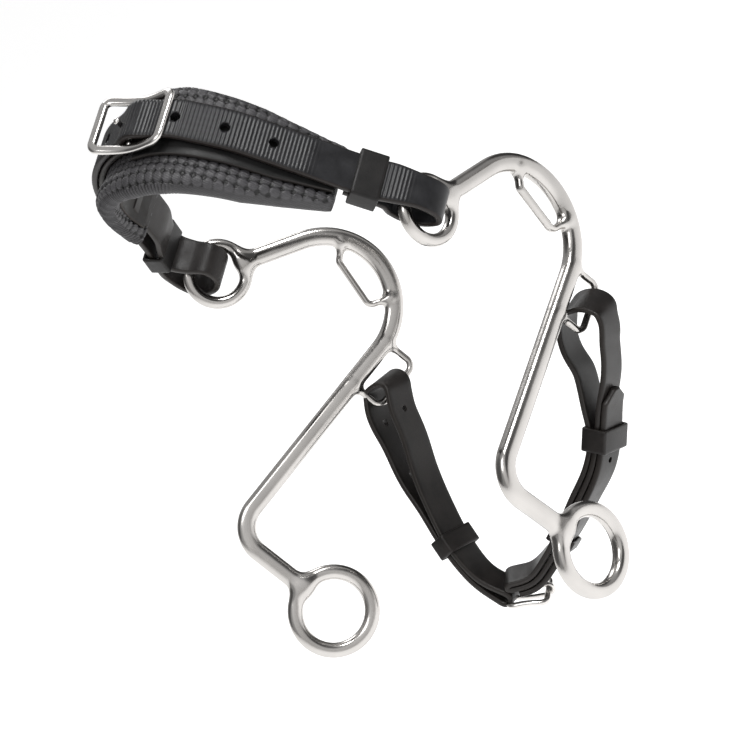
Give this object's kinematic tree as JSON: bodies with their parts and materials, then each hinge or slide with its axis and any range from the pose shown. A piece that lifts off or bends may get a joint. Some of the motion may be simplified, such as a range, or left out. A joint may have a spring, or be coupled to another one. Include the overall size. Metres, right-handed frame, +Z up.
{
  "type": "bitless hackamore",
  "caption": "Bitless hackamore with two S-shaped steel shanks, rein rings, a padded noseband with a flat buckle, and a doubled leather curb strap behind the chin.",
  "frame": {"origin": "where the noseband's lining rests on the bridge of the nose, midway between the two nose rings", "axes": "as worn on the horse's head: +Z up, +X towards the horse's left, -Y towards the front of the nose; the shanks' hinge line runs along X"},
  "size_m": [0.163, 0.1419, 0.2878],
  "materials": {
    "polished_steel": "polished stainless steel",
    "buckle_steel": "polished stainless steel, lightly worn edges",
    "ribbed_leather": "dark grey strap with fine ribs across it and a silky sheen",
    "smooth_leather": "smooth black leather, satin",
    "curb_leather": "smooth black-brown leather with burnished edges",
    "woven_leather": "dark grey woven leather, matt",
    "felt_core": "dense felt",
    "soft_lining": "soft dark lining leather"
  },
  "bodies": {
    "noseband": {"left_nose_strap": "ribbed_leather", "right_nose_strap": "ribbed_leather", "pad_backing_strap": "smooth_leather", "pad_cover": "woven_leather", "pad_core": "felt_core", "pad_lining": "soft_lining", "nose_buckle_frame": "buckle_steel", "nose_buckle_bar": "buckle_steel", "nose_buckle_stud": "buckle_steel"},
    "left_shank": {"left_shank_bar": "polished_steel", "left_nose_ring": "polished_steel", "left_rein_ring": "polished_steel", "left_cheek_slot": "polished_steel", "left_curb_loop": "polished_steel"},
    "right_shank": {"right_shank_bar": "polished_steel", "right_nose_ring": "polished_steel", "right_rein_ring": "polished_steel", "right_cheek_slot": "polished_steel", "right_curb_loop": "polished_steel"},
    "curb_strap": {"left_curb_strap": "curb_leather", "right_curb_strap": "curb_leather", "curb_strap_tail": "curb_leather", "curb_buckle_frame": "buckle_steel"},
    "curb_tongue": {"curb_buckle_tongue": "buckle_steel"},
    "left_nose_keeper_body": {"left_nose_keeper": "smooth_leather"},
    "right_nose_keeper_body": {"right_nose_keeper": "smooth_leather"},
    "right_curb_keeper_body": {"right_curb_keeper": "curb_leather"},
    "left_curb_keeper_body": {"left_curb_keeper": "curb_leather"},
    "curb_buckle_keeper_body": {"curb_buckle_keeper": "curb_leather"}
  },
  "joints": [
    {"name": "left_shank_hinge", "type": "hinge", "parent": "noseband", "child": "left_shank", "pos_m": [0.065, 0.0425, -0.0726], "axis": [1, 0, 0], "range_deg": [-22, 10]},
    {"name": "right_shank_hinge", "type": "hinge", "parent": "noseband", "child": "right_shank", "pos_m": [-0.065, 0.0425, -0.0726], "axis": [1, 0, 0], "range_deg": [-22, 10]},
    {"name": "curb_swing", "type": "hinge", "parent": "left_shank", "child": "curb_strap", "pos_m": [0.0737, 0.091, -0.1536], "axis": [0.9638, 0.2655, 0.025], "range_deg": [-4, 9]},
    {"name": "tongue_hinge", "type": "hinge", "parent": "curb_strap", "child": "curb_tongue", "pos_m": [0.02229, 0.03446, -0.25464], "axis": [0.4272, -0.9033, -0.0398], "range_deg": [0, 60]},
    {"name": "left_nose_keeper_slide", "type": "slide", "parent": "noseband", "child": "left_nose_keeper_body", "axis": [0.5446, 0.3976, -0.7384], "range_m": [-0.004, 0]},
    {"name": "right_nose_keeper_slide", "type": "slide", "parent": "noseband", "child": "right_nose_keeper_body", "axis": [0.4848, -0.4146, 0.7701], "range_m": [0, 0.004]},
    {"name": "right_curb_keeper_slide", "type": "slide", "parent": "curb_strap", "child": "right_curb_keeper_body", "axis": [-0.4157, 0.2801, 0.8653], "range_m": [-0.002, 0.001]},
    {"name": "left_curb_keeper_slide", "type": "slide", "parent": "curb_strap", "child": "left_curb_keeper_body", "axis": [0.3749, 0.4225, 0.8252], "range_m": [-0.003, 0.002]},
    {"name": "buckle_keeper_slide", "type": "slide", "parent": "curb_strap", "child": "curb_buckle_keeper_body", "axis": [0.5943, 0.5617, 0.5756], "range_m": [-0.003, 0.004]}
  ],
  "couplings": [
    {"joint": "right_shank_hinge", "follows": "left_shank_hinge", "ratio": 1}
  ]
}
